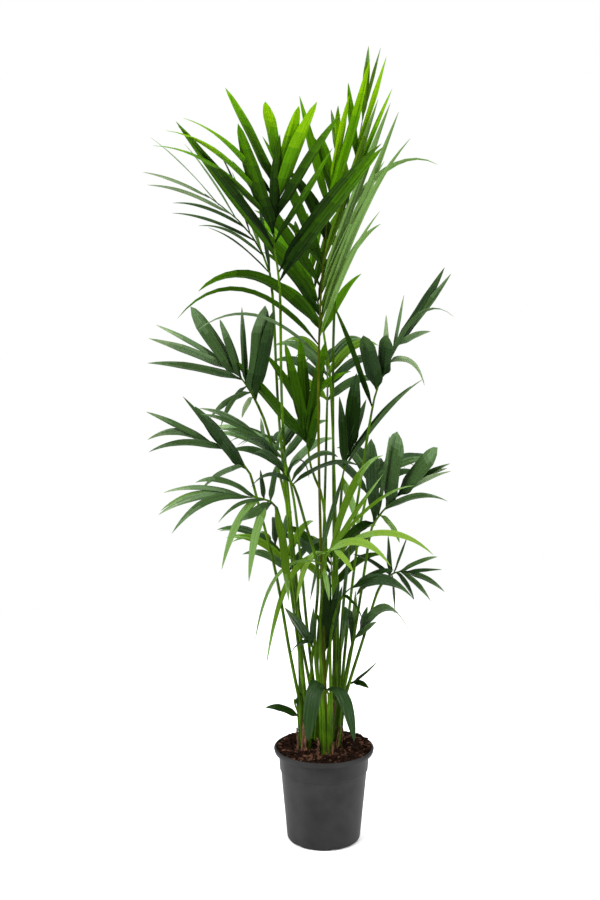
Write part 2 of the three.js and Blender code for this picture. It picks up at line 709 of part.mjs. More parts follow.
const fronds = Object.entries(FRONDS).map(([name, row]) => {
  const way = layOut(row);
  if (row.whole) {
    const radius = (t) => mix(STALK.neck, RIB.tip, t);
    const rib = taperedTube(way.line, 0, 1, radius, RIB.sides, STALK.steps, true);
    return { name, row, way, rib: keep(rib) };
  }
  const end = way.neck - NECK_GAP / way.length;
  const stalk = taperedTube(way.line, 0, end, stalkRadius, STALK.sides, STALK.steps, true);
  keep(stalk);
  addNode(`stalk_${name}`, stalk, COLOURS.stalk, 0.6);
  const rib = taperedTube(way.line, way.neck, 1, ribRadius, RIB.sides, RIB.steps);
  return { name, row, way, rib: keep(rib) };
});

const blades = [];
for (const { name, row, way, rib } of fronds) {
  const others = [...limbs.filter((limb) => limb !== rib), ...blades];
  const frond = wholeOf(growLeaflets(row, rib.solid, way, others));
  blades.push({ solid: frond, box: boxOf(frond) });
  addNode(`frond_${name}`, frond, bladeColour(name), 0.6);
}

export default group;
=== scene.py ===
"""Kentia palm in its nursery pot: the detailed pieces that stand for the plain solids of the frame.

The sizes are in millimetres, the origin is the centre of the pot's underside, and +Z is up.
They are turned to metres where a mesh is made. The fronds grow by the same rule as the solids.
"""

import math
import random
from bisect import bisect_right
from types import SimpleNamespace as Sizes

import bmesh
import bpy
from mathutils import Matrix, Quaternion, Vector, noise


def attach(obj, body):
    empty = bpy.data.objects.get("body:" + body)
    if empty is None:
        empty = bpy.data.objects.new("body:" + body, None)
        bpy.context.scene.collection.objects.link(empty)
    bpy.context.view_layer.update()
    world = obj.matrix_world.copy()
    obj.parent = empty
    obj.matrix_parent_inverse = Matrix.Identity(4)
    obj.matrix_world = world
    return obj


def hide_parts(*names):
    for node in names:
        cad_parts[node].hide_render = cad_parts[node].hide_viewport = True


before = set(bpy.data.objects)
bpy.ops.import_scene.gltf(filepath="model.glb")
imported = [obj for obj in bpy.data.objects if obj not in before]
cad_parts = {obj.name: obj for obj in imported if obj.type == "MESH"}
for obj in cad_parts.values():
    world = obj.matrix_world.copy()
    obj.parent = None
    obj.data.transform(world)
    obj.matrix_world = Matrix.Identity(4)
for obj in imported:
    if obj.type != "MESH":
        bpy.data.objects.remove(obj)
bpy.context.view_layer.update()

MM = 0.001
UP = Vector((0, 0, 1))
SEED = 11


def new_object(name, data):
    made = bpy.data.objects.new(name, data)
    bpy.context.scene.collection.objects.link(made)
    return made


# ---------------- camera and light

CAMERA = Sizes(place=(-57.4, -3500, 1530), pitch_down=9.4, lens=61.04, sensor=36)


def make_camera():
    data = bpy.data.cameras.new("camera")
    data.lens = CAMERA.lens
    data.sensor_width = CAMERA.sensor
    data.clip_end = 60
    camera = new_object("camera", data)
    camera.location = Vector(CAMERA.place) * MM
    camera.rotation_euler = (math.radians(90 - CAMERA.pitch_down), 0, 0)
    bpy.context.scene.camera = camera


# Soft boxes as (name, place in metres, what it looks at, side in metres, watts).
SOFT_BOXES = [
    ("soft_box_key", (-2.0, -2.2, 3.9), (0, 0, 1.2), 1.6, 190),
    ("soft_box_top", (0.4, 0.5, 4.2), (0, 0, 1.3), 1.6, 150),
    ("soft_box_right", (2.7, -1.0, 1.6), (0, 0, 0.7), 1.4, 95),
    ("soft_box_left", (-2.8, -0.9, 1.3), (0, 0, 0.5), 1.4, 80),
]


def make_lights():
    for name, place, target, side, watts in SOFT_BOXES:
        data = bpy.data.lights.new(name, "AREA")
        data.shape = "SQUARE"
        data.size = side
        data.energy = watts
        lamp = new_object(name, data)
        lamp.location = place
        lamp.rotation_euler = (Vector(target) - Vector(place)).to_track_quat("-Z", "Y").to_euler()


WORLD_LIGHT = 0.42  # of the white that the camera sees behind the plant


def make_world():
    """White all round, of which only a part gives light."""
    world = bpy.data.worlds.new("studio")
    bpy.context.scene.world = world
    world.use_nodes = True
    tree = world.node_tree
    tree.nodes.clear()
    seen = add(tree, "ShaderNodeLightPath").outputs["Is Camera Ray"]
    sockets = {"Color": (1, 1, 1, 1), "Strength": ranged(tree, seen, WORLD_LIGHT, 1.0)}
    background = add(tree, "ShaderNodeBackground", sockets)
    add(tree, "ShaderNodeOutputWorld", {"Surface": background.outputs["Background"]})


# ---------------- materials


def linear(hex_colour):
    """An sRGB colour such as "#3d5a44" as linear red, green, blue and alpha."""
    parts = [int(hex_colour[k : k + 2], 16) / 255 for k in (1, 3, 5)]
    turned = [c / 12.92 if c <= 0.04045 else ((c + 0.055) / 1.055) ** 2.4 for c in parts]
    return (*turned, 1)


def add(tree, kind, sockets=None, **settings):
    """A node with its settings; each socket in sockets gets a value, or a link from a socket."""
    made = tree.nodes.new(kind)
    for name, value in settings.items():
        setattr(made, name, value)
    for name, value in (sockets or {}).items():
        if isinstance(value, bpy.types.NodeSocket):
            tree.links.new(value, made.inputs[name])
        else:
            made.inputs[name].default_value = value
    return made


def new_material(name):
    material = bpy.data.materials.new(name)
    material.use_nodes = True
    material.node_tree.nodes.clear()
    return material, material.node_tree


def finish_material(material, tree, **sockets):
    """Ends a material in the shader; the names of its sockets have _ for a space."""
    named = {name.replace("_", " "): value for name, value in sockets.items()}
    shader = add(tree, "ShaderNodeBsdfPrincipled", named)
    add(tree, "ShaderNodeOutputMaterial", {"Surface": shader.outputs["BSDF"]})
    return material


def object_place(tree):
    return add(tree, "ShaderNodeTexCoord").outputs["Object"]


def drawn_out(tree, place, height_share):
    """Places for a pattern that is drawn out upwards, into fibres."""
    sockets = {"Vector": place, "Scale": (1, 1, height_share)}
    return add(tree, "ShaderNodeMapping", sockets).outputs["Vector"]


def grains(tree, place, size, **sockets):
    """Noise whose grains are that many millimetres wide."""
    named = {"Vector": place, "Scale": 1 / (size * MM), **sockets}
    return add(tree, "ShaderNodeTexNoise", named).outputs["Fac"]


def bands(tree, place, period):
    """Slightly wavering bands along Y, that many millimetres apart."""
    scale = 2 * math.pi / (20 * period * MM)  # a Wave Texture has a band every 2 pi / 20 at scale 1
    sockets = {"Vector": place, "Scale": scale, "Distortion": 0.3, "Detail": 1.0}
    return add(tree, "ShaderNodeTexWave", sockets, bands_direction="X").outputs["Fac"]


def mixed(tree, share, a, b):
    sockets = {"Factor": share, "A": a, "B": b}
    return add(tree, "ShaderNodeMix", sockets, data_type="FLOAT").outputs["Result"]


def ranged(tree, value, low, high):
    sockets = {"Value": value, "To Min": low, "To Max": high}
    return add(tree, "ShaderNodeMapRange", sockets).outputs["Result"]


def colours_between(tree, value, low, high):
    """A colour for each value, between two that are given as (value, sRGB colour)."""
    made = add(tree, "ShaderNodeValToRGB", {"Fac": value})
    for element, (position, colour) in zip(made.color_ramp.elements, (low, high)):
        element.position, element.color = position, linear(colour)
    return made.outputs["Color"]


def relief(tree, height, depth, strength):
    """The normal of a relief that is that many millimetres deep."""
    sockets = {"Height": height, "Distance": depth * MM, "Strength": strength}
    return add(tree, "ShaderNodeBump", sockets).outputs["Normal"]


WAX_IOR = 1.3  # low, so that the blades keep their deep greens where they are seen edge-on
VEINS = Sizes(pleat=9, fine=5, share=0.15)  # the leaf's own lie closer; these show from a step away
GLOSS_PLAY = 0.08  # by how much a blade's roughness wanders to either side


def leaf_material(name, shade, roughness, sheen_of_wax):
    """Living palm leaf: plain green, with parallel veins along it, pressed into a waxy skin."""
    material, tree = new_material(name)
    place = add(tree, "ShaderNodeUVMap", uv_map="Blade").outputs["UV"]
    pleats, veins = (bands(tree, place, period) for period in (VEINS.pleat, VEINS.fine))
    spots = grains(tree, object_place(tree), 35)
    return finish_material(
        material, tree,
        Base_Color=shade,
        Roughness=ranged(tree, spots, roughness - GLOSS_PLAY, roughness + GLOSS_PLAY),
        Specular_IOR_Level=sheen_of_wax,
        IOR=WAX_IOR,
        Normal=relief(tree, mixed(tree, VEINS.share, pleats, veins), 2.2, 0.8),
    )


# Greens of the blades: colour, roughness, and how strongly the wax reflects. They are painted light
# and shade. Sunlit down to shadow stand for blades that light shines through, down to blades in
# shade. The grey greens run from a painted sheen of light off the wax, the palest, down to shaded
# blades.
GREENS = {
    "sunlit": ("#709e02", 0.5, 0.05),
    "fresh": ("#4a7b02", 0.5, 0.05),
    "grass": ("#386002", 0.48, 0.05),
    "moss": ("#244202", 0.46, 0.05),
    "ivy": ("#142a02", 0.44, 0.05),
    "shadow": ("#081802", 0.44, 0.04),
    "willow": ("#5f7e40", 0.46, 0.08),
    "young": ("#5f7c28", 0.48, 0.08),
    "olive": ("#3f5c0d", 0.46, 0.07),
    # painted sheen: this pale grey green stands for light glancing off the wax
    "frost": ("#6f835d", 0.44, 0.12),
    "sage": ("#506843", 0.42, 0.1),
    "slate": ("#324924", 0.42, 0.09),
    "fir": ("#1d3214", 0.36, 0.16),
    "pine": ("#102304", 0.4, 0.06),
}
TONES = dict(zip("sfgmihwylFSLRP", GREENS))  # the letter of each green, for the table of fronds
# Each kind of green runs from painted shade, deep, to painted light, pale.
SHADES = ("himgfs", "PRLSF", "lw", "wy")  # the letters of one kind each, from deep to pale
# Half steps from the tone of a blade's middle to those of its parts, from root to tip: painted
# shade makes the root deeper, and painted light makes the tip paler.
SHADED = [-2, -1, -1, 0, 0, 0, 1, 2]
greens = {}  # the material of each letter, and of each pair of letters for the green between them


def green(letters):
    if letters not in greens:
        looks = [GREENS[TONES[letter]] for letter in letters]
        name = "_".join(["palm_leaf", *(TONES[letter] for letter in letters)])
        colours, roughness, sheen = zip(*looks)
        middle = [sum(parts) / len(parts) for parts in zip(*map(linear, colours))]
        shares = [sum(parts) / len(parts) for parts in (roughness, sheen)]
        greens[letters] = leaf_material(name, middle, *shares)
    return greens[letters]


def stalk_material(name, dark, pale):
    """Leaf stalk: smooth waxy rind with fine fibres along it, paler in patches."""
    material, tree = new_material(name)
    place = object_place(tree)
    fibres = grains(tree, drawn_out(tree, place, 0.04), 1.6, Detail=3.0)
    patched = mixed(tree, 0.55, fibres, grains(tree, place, 70))
    return finish_material(
        material, tree,
        Base_Color=colours_between(tree, patched, (0.36, dark), (0.64, pale)),
        Roughness=0.45,
        Specular_IOR_Level=0.05,
        IOR=WAX_IOR,
        Normal=relief(tree, fibres, 0.4, 0.25),
    )


def sheath_material():
    """Dry leaf sheath: torn net of brown fibres, matt, paler along the single strands."""
    material, tree = new_material("dry_sheath_fibre")
    strands = grains(tree, drawn_out(tree, object_place(tree), 0.12), 2.4, Detail=5.0)
    return finish_material(
        material, tree,
        Base_Color=colours_between(tree, strands, (0.36, "#1d120c"), (0.66, "#77553f")),
        Roughness=0.85,
        Specular_IOR_Level=0.15,
        Normal=relief(tree, strands, 1.2, 0.9),
    )


def bark_material(name, dark, pale, grain):
    """Potting bark and peat: broken crumbs, matt and nearly black where damp, brown where dry."""
    material, tree = new_material(name)
    crumbs = grains(tree, object_place(tree), grain, Detail=6.0, Roughness=0.65)
    return finish_material(
        material, tree,
        Base_Color=colours_between(tree, crumbs, (0.38, dark), (0.7, pale)),
        Roughness=0.95,
        Specular_IOR_Level=0.02,
        Normal=relief(tree, crumbs, 1.0, 0.8),
    )


def pot_material():
    """Moulded polypropylene: dark grey with the mould's fine spark-eroded grain, half matt."""
    material, tree = new_material("moulded_polypropylene")
    place = object_place(tree)
    # The mould's grain is about 0.3 mm; it is drawn at 1.2 mm, which is as fine as shows.
    grain = grains(tree, place, 1.2, Detail=2.0)
    scuffs = grains(tree, place, 40, Detail=4.0)
    return finish_material(
        material, tree,
        Base_Color=colours_between(tree, scuffs, (0.3, "#232323"), (0.7, "#2c2c2c")),
        Roughness=ranged(tree, scuffs, 0.4, 0.55),
        Specular_IOR_Level=0.1,
        IOR=1.35,
        Normal=relief(tree, grain, 0.3, 0.35),
    )


def floor_material():
    """Matt white studio paper."""
    material, tree = new_material("studio_paper")
    return finish_material(material, tree, Base_Color=linear("#f8f8f7"), Roughness=0.9)


# ---------------- meshes


def add_piece(name, bm, materials, sharp_over=math.radians(38)):
    """A finished piece from a bmesh in millimetres: in metres, outward, with its edges sharp."""
    bmesh.ops.recalc_face_normals(bm, faces=bm.faces)
    bmesh.ops.scale(bm, vec=(MM, MM, MM), verts=bm.verts)
    for face in bm.faces:
        face.smooth = True
    for edge in bm.edges:
        if len(edge.link_faces) == 2 and edge.calc_face_angle() > sharp_over:
            edge.smooth = False
    mesh = bpy.data.meshes.new(name)
    bm.to_mesh(mesh)
    bm.free()
    for material in materials:
        mesh.materials.append(material)
    return new_object(name, mesh)


def place_piece(piece, slot, *nodes):
    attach(piece, "root")
    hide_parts(*nodes)


def faces_of(verts):
    """The faces at the verts, each once and in a fixed order."""
    return list(dict.fromkeys(face for vert in verts for face in vert.link_faces))


def mix(a, b, t):
    return a + (b - a) * t


def eased(t):
    """0 to 1 with a gentle start and end."""
    t = min(1, max(0, t))
    return t * t * (3 - 2 * t)


def rise(value, start, end):
    """0 to 1 while the value goes from start to end, with a gentle start and end."""
    return eased((value - start) / (end - start))


def squared(v, axis):
    """The part of v that is square to the unit vector axis, made a unit vector."""
    return (v - axis * v.dot(axis)).normalized()


class Way:
    """A smooth way through points, with places on it from 0 to 1 by length."""

    fine = 40  # steps from one point to the next
    look_ahead = 0.004  # of the length, to either side, for the direction

    def __init__(self, points):
        knots = [2 * points[0] - points[1], *points, 2 * points[-1] - points[-2]]
        self.spots = []
        for before, start, end, after in zip(knots, knots[1:], knots[2:], knots[3:]):
            for k in range(self.fine):
                t = k / self.fine
                square = (2 * before - 5 * start + 4 * end - after) * t**2
                cube = (3 * start - before - 3 * end + after) * t**3
                self.spots.append(((end - before) * t + square + cube) / 2 + start)
        self.spots.append(points[-1].copy())
        self.lengths = [0]
        for here, there in zip(self.spots, self.spots[1:]):
            self.lengths.append(self.lengths[-1] + (there - here).length)
        self.length = self.lengths[-1]

    def place_of(self, knot):
        return self.lengths[knot * self.fine] / self.length

    def at(self, place):
        target = min(1, max(0, place)) * self.length
        high = min(bisect_right(self.lengths, target), len(self.lengths) - 1)
        low = high - 1
        span = self.lengths[high] - self.lengths[low]
        share = (target - self.lengths[low]) / span if span else 0
        return self.spots[low].lerp(self.spots[high], share)

    def along(self, place):
        step = self.look_ahead
        return (self.at(place + step) - self.at(place - step)).normalized()


def station(centre, axis, across, wide, deep):
    """The matrix that lays a unit circle square to axis, wide along across and deep beside it."""
    other = axis.cross(across)
    columns = Matrix((across * wide, other * deep, axis)).transposed().to_4x4()
    return Matrix.Translation(centre) @ columns


def add_limb(bm, stations, outline):
    """A closed limb: a ring in the given outline, drawn out from station to station."""
    sides = len(outline)
    made = bmesh.ops.create_circle(bm, cap_ends=True, segments=sides, radius=1)["verts"]
    for vert, reach in zip(made, outline):
        vert.co *= reach
    bmesh.ops.transform(bm, matrix=stations[0], verts=made)
    cap = made[0].link_faces[0]
    for k, (last, following) in enumerate(zip(stations, stations[1:])):
        drawn = bmesh.ops.extrude_face_region(bm, geom=[cap])["geom"]
        if k:
            bmesh.ops.delete(bm, geom=[cap], context="FACES_ONLY")
        cap = next(part for part in drawn if isinstance(part, bmesh.types.BMFace))
        bmesh.ops.transform(bm, matrix=following @ last.inverted(), verts=cap.verts)


# ---------------- the plant's sizes

# The strips of dry sheath on a stem: where in degrees, how high, how wide in degrees, how far out.
STEMS = {
    "left": dict(
        foot=(-44, 0), crown=(-50, -2), top=338, strips=[(-98, 130, 40, 22), (-150, 80, 30, 19)],
    ),
    "centre": dict(
        foot=(6, -30), crown=(4, -33), top=334, strips=[(-165, 60, 34, 20), (-35, 50, 30, 19)],
    ),
    "right": dict(
        foot=(23, 7), crown=(36, 9), top=344, strips=[(-128, 165, 36, 22), (-80, 80, 28, 19)],
    ),
    "back": dict(
        foot=(-16, 38), crown=(-14, 43), top=336, strips=[(90, 125, 60, 20), (-60, 95, 40, 17)],
    ),
    "far": dict(
        foot=(28, 52), crown=(30, 55), top=340, strips=[(75, 140, 56, 20), (15, 100, 50, 17)],
    ),
}
SEATS = Sizes(round=6, circle=12.6, gap=0.3)
SOIL_TOP = 222
SUNK = 6  # mm that the stems and the stalks' bases reach into the substrate
STALK = Sizes(
    foot=4.6, neck=3.4, base=8.5, base_deep=5.0, rise=5, steps=26, sides=12,
    gathered=0.62,  # of the seat's distance from the stem's middle, for the base
    slims=1.5,  # times as fast as evenly, so that it is slender well below the neck
    flat=0.9,
    channel=0.28,  # depth of the channel, as a share of the radius
    channel_wide=0.55,  # radians
)
RIB = Sizes(neck=3.6, tip=1.3, slim=0.86)

LEAFLET = Sizes(
    first=9,  # mm from the neck
    last=0.985,  # of the rib
    shortest=0.62,  # of the longest, where they stand in even pairs
    lift=0.25,  # rise out of the blade, towards its upper face
    root_half=2.2,
    tip_half=0.25,
    full_from=0.2,  # shares of the length between which the blade has its full width
    full_to=0.62,
    broad_from=30,  # mm wide
    closing=dict(broad=0.55, slender=0.75),  # how the tip draws together; more is more pointed
    twist=28,  # degrees that each blade is turned, so that neighbours lie like slats
    wring=12,  # degrees that a blade may wind along its length
    droop_grows=1.5,  # power of the share of the length, so that the tip droops most
    sway=0.05,
    sway_turn=5,  # radians
    thickness=0.6,
    along=14,
    across=4,
    fold_root=42,  # degrees that each half is folded down from the midrib
    fold_blade=13,
    fold_eased=0.3,  # of the length, where the root's fold has become the blade's
    ripple=0.06,  # of the half width
    ripple_turn=9,  # radians
    # where a blade steps from the painted shade of its root towards the painted light of its tip
    tone_shares=(0.1, 0.2, 0.31, 0.45, 0.59, 0.72, 0.84),  # of the length, where the tone changes
    ragged=0.07,  # of the length, by which each strip of the blade changes sooner or later
)

# Each frond: the stem that carries it and its seat, the stalk up to the neck, the rib on to the
# tip, and where its upper face looks. Leaflets are listed from the neck up, left and right, as
# [place on the rib %, angle to the rib in degrees, length, width, droop], and where the taper to
# a broad tip begins, as a share of the length, if not at full_to. The tones give each leaflet its
# green, in the same order, by its letter in TONES. They are painted light and shade: bright and
# pale greens for light shining through some blades and glancing off the wax of others, deep greens
# for shaded blades. That is the tone of the middle; shades gives the half steps from it of the
# parts
# from root to tip, if not as in SHADED: painted shade towards the root, painted light towards the
# tip.
FRONDS = {
    "high_front": dict(
        stem="left", seat=0, face=[0, -1, 0.35],
        stalk=[[-62, -15, 595], [-96, -30, 1000], [-102, -80, 1326]],
        rib=[[-113, -110, 1405], [-114, -150, 1492], [-100, -210, 1598]],
        left=[[30, 23, 410, 23, 0.3], [40, 12, 310, 38, 0], [50, 35, 385, 20, 0.6],
              [60, 34, 365, 20, 0.6], [70, 35, 325, 22, 0.5], [78, 25, 295, 32, 0.1],
              [95, 13, 190, 34, 0.1, 0.75]],
        right=[[3, 33, 405, 36, 0.3], [10, 36, 400, 34, 0.3], [34, 27, 290, 18, 0.1],
               [45, 4, 260, 28, 0], [52, 22, 345, 26, 0.2], [64, 13, 320, 32, 0.1],
               [80, 6, 245, 30, 0.1]],
        tones="imgffgf mimimff", shades=[-4, -3, -2, -1, 0, 1, 2, 3], slot="bright_blade",
    ),
    "tall_centre": dict(
        stem="centre", seat=0, face=[0, -1, 0.3],
        stalk=[[-8, -20, 715], [-14, -5, 975], [-14, 5, 1155]],
        rib=[[-9, 12, 1314], [2, 10, 1457], [13, 5, 1546], [43, -20, 1727]],
        left=[[1, 48, 320, 9, 1.2], [5, 40, 400, 14, 1.5], [12, 41, 340, 30, 1.3],
              [19, 37, 540, 30, 0.15], [28, 35, 360, 28, 0.2], [37, 27, 330, 28, 0.2],
              [47, 24, 220, 23, 0.8], [59, 20, 270, 21, 0.1], [70, 20, 120, 23, 0.1]],
        right=[[8, 18, 330, 14, 0.5], [13, 18, 480, 18, 0.5], [20, 18, 480, 20, 0.1],
               [26, 16, 265, 12, 0.6], [28, 16, 450, 20, 0.1], [37, 13, 400, 19, 0.1],
               [43, 22, 378, 16, 1.1], [58, 8, 360, 24, 0.1], [68, 2, 220, 18, 0.1],
               [84, -9, 100, 16, 0]],
        tones="Smmmmmigg wwwwwlwfss", rind="ripe", slot="bright_blade",
    ),
    "tall_back": dict(
        stem="far", seat=0, face=[0.3, -1, 0.2],
        stalk=[[24, 40, 679], [20, 48, 1109], [24, 55, 1295]],
        rib=[[37, 60, 1421], [58, 60, 1547], [88, 40, 1725]],
        left=[[8, 43, 210, 23, 0.4], [22, 37, 230, 23, 0.3], [38, 32, 230, 23, 0.2],
              [55, 26, 210, 21, 0.1], [75, 20, 180, 18, 0.1], [95, 10, 170, 16, 0.05]],
        right=[[8, 20, 170, 18, 0.6], [22, 10, 240, 21, 0.4], [38, 6, 240, 21, 0.2],
               [55, 7, 260, 18, 0.15], [75, 2, 240, 18, 0.1], [97, 0, 160, 12, 0.05]],
        tones="mimlgl wwwfsl",
    ),
    "high_left": dict(
        stem="left", seat=1, face=[-0.5, -0.35, 0.8],
        stalk=[[-67, 40, 581], [-107, 85, 1009], [-123, 100, 1315]],
        rib=[[-149, 100, 1408], [-204, 95, 1480], [-278, 85, 1538]],
        left=[[10, 33, 190, 10, 0.5], [25, 18, 180, 9, 0.7], [40, 26, 215, 9, 0.5],
              [55, 22, 200, 8, 0.6], [72, 32, 250, 9, 0.3], [95, 30, 200, 8, 0.3]],
        right=[[12, 20, 200, 10, 0.4], [30, 14, 210, 9, 0.3], [48, 18, 215, 8, 0.5],
               [66, 10, 210, 8, 0.4], [85, 4, 220, 8, 0.3]],
        tones="RLLLFF RwRSS",
    ),
    "right_high": dict(
        stem="right", seat=0, face=[-0.1, -1, 0.1],
        stalk=[[40, 2, 493], [53, 2, 656], [81, 4, 853], [104, 2, 1009]],
        rib=[[120, 0, 1091], [152, -6, 1166], [185, -14, 1231]],
        left=[[13, 29, 270, 16, 0], [31, 28, 140, 44, 0.1, 0.78], [46, 16, 105, 40, 0.1, 0.78],
              [52, 22, 140, 16, 0], [71, 15, 150, 9, 0.1]],
        right=[[50, -2, 280, 12, 1.2], [62, 35, 120, 21, 3], [78, 3, 230, 25, 0],
               [82, 28, 90, 18, 0.4], [89, 10, 200, 18, -0.1]],
        tones="iRRFS LFRSL",
    ),
    "right_mid": dict(
        stem="right", seat=5, twist=24, face=[-0.1, -1, 0.25],
        stalk=[[55, -12, 417], [76, -30, 551], [96, -50, 700], [107, -58, 773]],
        rib=[[126, -66, 810], [159, -86, 854], [200, -105, 906]],
        left=[[6, 132, 110, 26, 1.8], [4, 24, 220, 34, 0.1, 0.78], [15, 26, 230, 12, 0.5],
              [35, 26, 215, 48, 0.05, 0.8], [60, 2, 180, 40, 0.1, 0.8], [85, -15, 130, 12, 0.2]],
        right=[[20, 80, 80, 18, 1.6], [30, 16, 200, 18, 0.7], [65, 17, 160, 14, 0.2],
               [95, 24, 100, 12, 0.1]],
        tones="iRLLLL wLFF",
    ),
    "young_front": dict(
        stem="centre", seat=4, twist=-8, face=[-0.2, -0.75, 0.6],
        stalk=[[-11, -52, 509], [-7, -70, 634], [-7, -76, 671]],
        rib=[[0, -90, 724], [24, -112, 748], [55, -135, 765]],
        left=[[15, 81, 290, 8, 6], [38, 127, 168, 16, 7], [42, 149, 373, 18, 5.8],
              [52, 39, 278, 23, 0.9], [62, 19, 304, 9, 0.7], [88, -3, 300, 14, 0.9]],
        right=[[10, 150, 80, 12, 1.6], [24, 26, 337, 10, -0.1], [42, 20, 326, 18, 0.9],
               [58, 37, 136, 14, 0.5]],
        tones="wyllly wlyy", slot="young_blade",
    ),
    "left_low": dict(
        stem="left", seat=5, twist=4, face=[0, -0.75, 0.66],
        stalk=[[-69, -50, 557], [-92, -90, 733], [-109, -112, 834]],
        rib=[[-134, -130, 858], [-165, -155, 870], [-199, -180, 875]],
        left=[[2, 152, 225, 26, 5], [20, 53, 240, 21, 1.5], [40, 32, 270, 18, 1.4],
              [60, 10, 300, 17, 0.9], [80, 0, 260, 17, 0.7], [98, -6, 220, 12, 0.9]],
        right=[[10, -42, 160, 21, 0.2], [15, 92, 110, 18, 0.6], [30, -25, 220, 9, 0.6],
               [30, 72, 70, 18, 0.5], [50, 18, 180, 21, 0.8], [75, 10, 230, 14, 0.6]],
        tones="lwwLSw LLLRLS",
    ),
    "inner_right": dict(
        stem="back", seat=6, face=[0.2, -1, 0.1],
        stalk=[[24, 30, 583], [41, 20, 859]], rib=[[43, 20, 885], [50, 22, 918], [64, 24, 958]],
        left=[[20, 19, 140, 21, 0.1], [45, 20, 180, 21, 0.1], [80, 18, 200, 37, 0]],
        right=[[20, 17, 310, 12, 0.3], [40, 18, 290, 14, 0.5], [60, 14, 240, 12, 0.4],
               [90, -7, 130, 23, 0.1]],
        tones="wPP LLRR",
    ),
    "left_mid": dict(
        stem="left", seat=2, face=[0.2, -1, 0.4],
        stalk=[[-60, 12, 490], [-79, 26, 762], [-129, 40, 975], [-156, 40, 1051]],
        rib=[[-183, 34, 1099], [-206, 28, 1130], [-229, 20, 1154]],
        left=[[10, 97, 60, 18, 1.6], [20, 66, 130, 18, 0.9], [35, 89, 120, 18, 1.4],
              [50, 36, 260, 21, 0.3], [75, 26, 250, 21, 0.1]],
        right=[[0, 34, 220, 38, 0.05, 0.72], [4, 30, 225, 60, 0.05, 0.72], [35, 26, 190, 21, 0],
               [50, 12, 160, 30, 0.1, 0.72], [60, 2, 215, 46, 0.15, 0.8], [95, -16, 220, 18, 0.1]],
        tones="FLLLS RLLLLS",
    ),
    "inner_back": dict(
        stem="back", seat=0, face=[0, -1, 0.1],
        stalk=[[-14, 44, 480], [5, 60, 674], [-3, 72, 818], [-29, 80, 889]],
        rib=[[-41, 84, 961], [-48, 86, 1032], [-50, 84, 1104]],
        left=[[26, 32, 280, 32, 0.05], [30, 5, 250, 32, 0], [60, 24, 190, 21, 0.3]],
        right=[[15, 19, 140, 23, 0], [26, 17, 260, 30, 0], [27, 3, 260, 32, 0],
               [70, 44, 150, 21, 0.5]],
        tones="mmm mmmg", slot="bright_blade",
    ),
    "left_wide": dict(
        stem="left", seat=4, face=[0.1, -1, 0.5],
        stalk=[[-82, -12, 471], [-114, -10, 659], [-153, 4, 815], [-173, 10, 890]],
        rib=[[-186, 8, 911], [-220, -6, 947], [-270, -24, 976]],
        left=[[12, 49, 140, 18, 0.9], [60, 14, 220, 18, 0.7], [95, 6, 175, 17, 0.8]],
        right=[[2, -13, 210, 39, 0], [45, 6, 205, 20, 0.1], [85, 2, 200, 19, 0.25]],
        tones="SLS RRL",
    ),
    "front_centre": dict(
        stem="centre", seat=3, face=[0.25, -0.9, 0.5],
        stalk=[[-23, -34, 501], [-16, -64, 673], [-46, -120, 805], [-69, -142, 888]],
        rib=[[-89, -158, 918], [-119, -186, 981], [-162, -200, 1028]],
        left=[[5, 16, 160, 12, 1], [20, 7, 170, 14, 0.9], [40, 14, 200, 18, 0.9],
              [60, 21, 190, 16, 0.5], [80, 16, 180, 12, 0.4], [97, 19, 160, 12, 0.3]],
        right=[[0, 90, 170, 21, 0.9], [4, 81, 140, 23, 1.2], [12, 58, 100, 21, 2.6],
               [30, 36, 70, 21, 0.1], [50, 32, 70, 23, 0.1], [75, 30, 60, 16, 0.2]],
        tones="RRRLLS RLRLLS",
    ),
    "right_low": dict(
        stem="right", seat=6, face=[-0.1, -0.9, 0.5],
        stalk=[[68, 10, 411], [92, 8, 491], [124, 0, 607], [145, -8, 644]],
        rib=[[158, -16, 658], [172, -26, 666], [188, -38, 670]],
        left=[[0, 40, 105, 26, 0.05], [2, 150, 100, 16, 1.4], [10, 113, 105, 16, 0.4],
              [30, 34, 110, 11, 0.1], [55, 8, 140, 15, 0.3], [90, 2, 125, 13, 0.2]],
        right=[[20, 96, 95, 15, 1.2], [45, 44, 100, 17, 0.7], [70, 28, 140, 16, 0.5],
               [97, 16, 150, 15, 0.4]],
        tones="RRPLLR LRLL",
    ),
    "arching_right": dict(
        stem="centre", seat=6, face=[-0.2, -0.8, 0.6],
        stalk=[[14, -40, 503], [29, -55, 587]],
        rib=[[38, -64, 611], [51, -76, 633], [65, -88, 646]],
        left=[[30, 12, 140, 18, 0.1], [90, 0, 180, 21, 0.5]],
        right=[[40, 56, 100, 18, 1.2], [95, 10, 260, 28, 0.9]], tones="RP iR",
    ),
    "small_right": dict(
        stem="right", seat=1, whole=True, twist=10, face=[-0.2, -0.8, 0.6],
        stalk=[[62, 26, 456]], rib=[[69, 20, 480], [78, 12, 502], [87, 2, 520]],
        left=[[5, 5, 160, 18, 0.05], [10, 14, 260, 18, 2.2], [80, 4, 100, 21, 0.1]],
        right=[[50, 18, 110, 14, 0.3], [95, 8, 300, 21, 1.2]], tones="wRR LL",
    ),
    "small_left": dict(
        stem="left", seat=6, whole=True, face=[0.1, -0.8, 0.6],
        stalk=[[-28, -30, 471]], rib=[[-31, -40, 492], [-42, -52, 511], [-55, -62, 526]],
        left=[[12, 20, 215, 26, 0], [40, 31, 100, 18, 0.8]],
        right=[[10, 0, 150, 18, 0], [70, 23, 100, 14, 0]], tones="Ri Ri",
    ),
    "small_centre": dict(
        stem="centre", seat=2, whole=True, face=[0, -1, 0.3],
